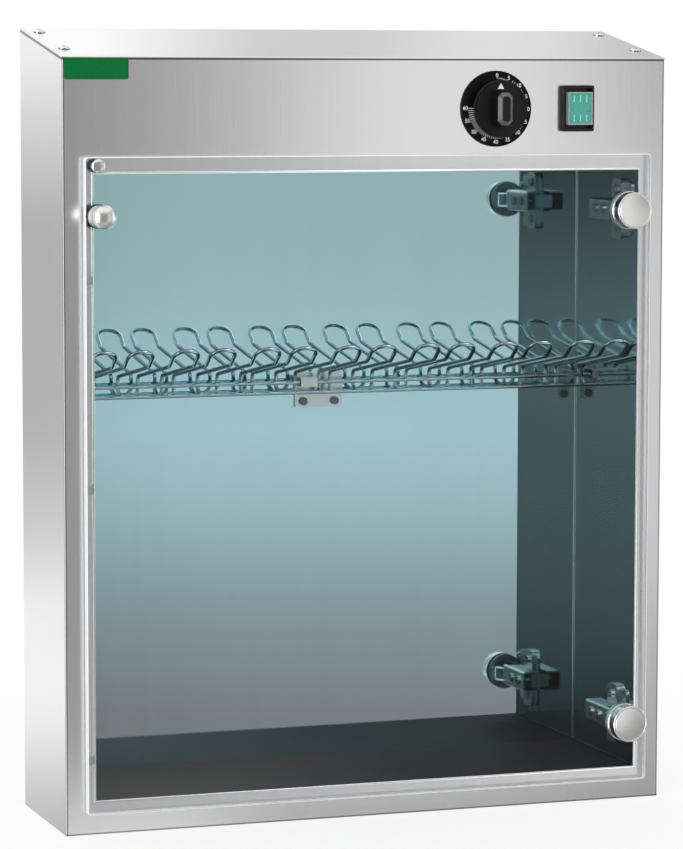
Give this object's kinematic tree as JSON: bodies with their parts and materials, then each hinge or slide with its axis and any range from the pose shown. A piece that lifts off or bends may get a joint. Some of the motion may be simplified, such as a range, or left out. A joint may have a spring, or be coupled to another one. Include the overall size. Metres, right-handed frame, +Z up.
{
  "type": "knife sterilizer cabinet",
  "caption": "Wall-hung steel knife sterilizer cabinet with a clear door on concealed hinges, a wire knife rack, a timer dial and a lit rocker switch.",
  "frame": {"origin": "middle of the bottom face", "axes": "+X to the right seen from the front, +Y into the wall, +Z up; the door faces -Y"},
  "size_m": [0.524, 0.1694, 0.637],
  "materials": {
    "brushed_casing": "satin, brushed",
    "polished_steel": "mirror polished",
    "zinc_steel": "zinc plated",
    "bright_nickel": "nickel plated",
    "clear_acrylic": "clear, polished edges",
    "lamp_glass": "clear quartz",
    "lamp_metal": "plain",
    "white_plastic": "moulded",
    "black_plastic": "moulded, fine grain",
    "black_gloss": "moulded, glossy",
    "dial_black": "anodised black, printed in white",
    "green_lens": "tinted, lit from behind",
    "frame_clear": "clear bright rim",
    "ballast_paint": "light grey",
    "black_rubber": "matt",
    "clear_rubber": "translucent",
    "wire_sleeve": "insulation",
    "plate_green": "printed plain"
  },
  "bodies": {
    "casing": {"body_shell": "brushed_casing", "right_side": "brushed_casing", "bottom_panel": "brushed_casing", "back_panel": "brushed_casing", "top_cover": "brushed_casing", "cover_screws": "bright_nickel", "chamber_liner": "polished_steel", "mirror_back": "polished_steel", "lamp_hood": "polished_steel", "lamp_tube": "lamp_glass", "lamp_end_caps": "lamp_metal", "lamp_holders": "white_plastic", "ballast": "ballast_paint", "starter": "white_plastic", "terminal_block": "white_plastic", "cable_gland": "black_plastic", "timer_body": "black_plastic", "timer_screws": "zinc_steel", "timer_dial": "dial_black", "switch_body": "black_plastic", "switch_bezel": "black_gloss", "microswitch_body": "black_plastic", "microswitch_bracket": "zinc_steel", "wiring": "wire_sleeve", "rack_rods": "bright_nickel", "rack_brackets": "zinc_steel", "rack_screws": "zinc_steel", "hinge_plate_lower": "bright_nickel", "hinge_plate_upper": "bright_nickel", "hinge_plate_screws": "zinc_steel", "hinge_arm_lower": "bright_nickel", "hinge_arm_upper": "bright_nickel", "hinge_arm_screws": "zinc_steel", "hinge_arm_pins": "zinc_steel", "door_bumpers": "clear_rubber", "name_plate": "plate_green", "hook_wire_1": "bright_nickel", "hook_wire_2": "bright_nickel", "hook_wire_3": "bright_nickel", "hook_wire_4": "bright_nickel", "hook_wire_5": "bright_nickel", "hook_wire_6": "bright_nickel", "hook_wire_7": "bright_nickel"},
    "hinge_links": {"hinge_link_lower": "bright_nickel", "hinge_link_upper": "bright_nickel"},
    "door": {"door_pane": "clear_acrylic", "hinge_cup_lower": "bright_nickel", "hinge_cup_upper": "bright_nickel", "hinge_cup_pins": "zinc_steel", "hinge_cap_lower": "bright_nickel", "hinge_cap_upper": "bright_nickel", "door_knob": "bright_nickel", "knob_washer": "black_rubber", "knob_screw": "bright_nickel", "striker_screw": "bright_nickel"},
    "timer_knob": {"timer_knob": "black_plastic", "timer_shaft": "zinc_steel"},
    "rocker": {"rocker_frame": "frame_clear", "rocker_lens": "green_lens"},
    "plunger": {"microswitch_plunger": "white_plastic"}
  },
  "joints": [
    {"name": "hinge_link_turn", "type": "hinge", "parent": "casing", "child": "hinge_links", "pos_m": [0.2112, -0.0632, 0.278], "axis": [0, 0, -1], "range_deg": [0, 79.8]},
    {"name": "door_swing", "type": "hinge", "parent": "hinge_links", "child": "door", "pos_m": [0.2286, -0.0588, 0.278], "axis": [0, 0, 1], "range_deg": [0, 174.81]},
    {"name": "timer_turn", "type": "hinge", "parent": "casing", "child": "timer_knob", "pos_m": [0.1062, -0.066, 0.5728], "axis": [0, 1, 0], "range_deg": [0, 270]},
    {"name": "rocker_tilt", "type": "hinge", "parent": "casing", "child": "rocker", "pos_m": [0.1764, -0.0692, 0.573], "axis": [1, 0, 0], "range_deg": [-7, 7]},
    {"name": "plunger_slide", "type": "slide", "parent": "casing", "child": "plunger", "axis": [0, 1, 0], "range_m": [-0.0018, 0]}
  ],
  "couplings": [
    {"joint": "door_swing", "follows": "hinge_link_turn", "ratio": 2.1905},
    {"joint": "plunger_slide", "follows": "hinge_link_turn", "m_per_rad": -0.00129}
  ]
}
